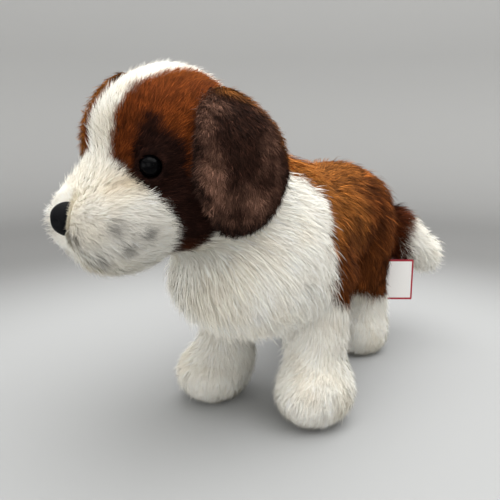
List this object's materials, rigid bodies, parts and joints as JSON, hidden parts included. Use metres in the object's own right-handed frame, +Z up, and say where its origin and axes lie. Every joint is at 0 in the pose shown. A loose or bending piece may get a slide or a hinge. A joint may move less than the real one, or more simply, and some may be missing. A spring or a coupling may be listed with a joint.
{
  "type": "plush saint bernard dog toy",
  "caption": "Soft plush saint bernard puppy that stands on its four feet, with drop ears, a head turned to one side and a small swing tag.",
  "frame": {"origin": "on the floor, at the middle of the toy's outline seen from above", "axes": "-Y to the front of the dog, +X to its left side, +Z up"},
  "size_m": [0.2138, 0.4391, 0.2867],
  "materials": {
    "white_plush": "long pile",
    "rust_plush": "long pile",
    "brown_plush": "short pile",
    "black_plastic": "gloss",
    "nose_plastic": "satin",
    "tag_card": "coated card",
    "tack_plastic": "clear nylon"
  },
  "bodies": {
    "root": {"head": "white_plush", "neck": "white_plush", "trunk": "rust_plush", "leg_front_left": "white_plush", "leg_front_right": "white_plush", "leg_hind_left": "white_plush", "leg_hind_right": "white_plush", "tail": "rust_plush", "ear_left": "brown_plush", "ear_right": "brown_plush", "eye_left": "black_plastic", "eye_right": "black_plastic", "nose": "nose_plastic", "tag": "tag_card", "tag_tack": "tack_plastic"}
  },
  "joints": []
}
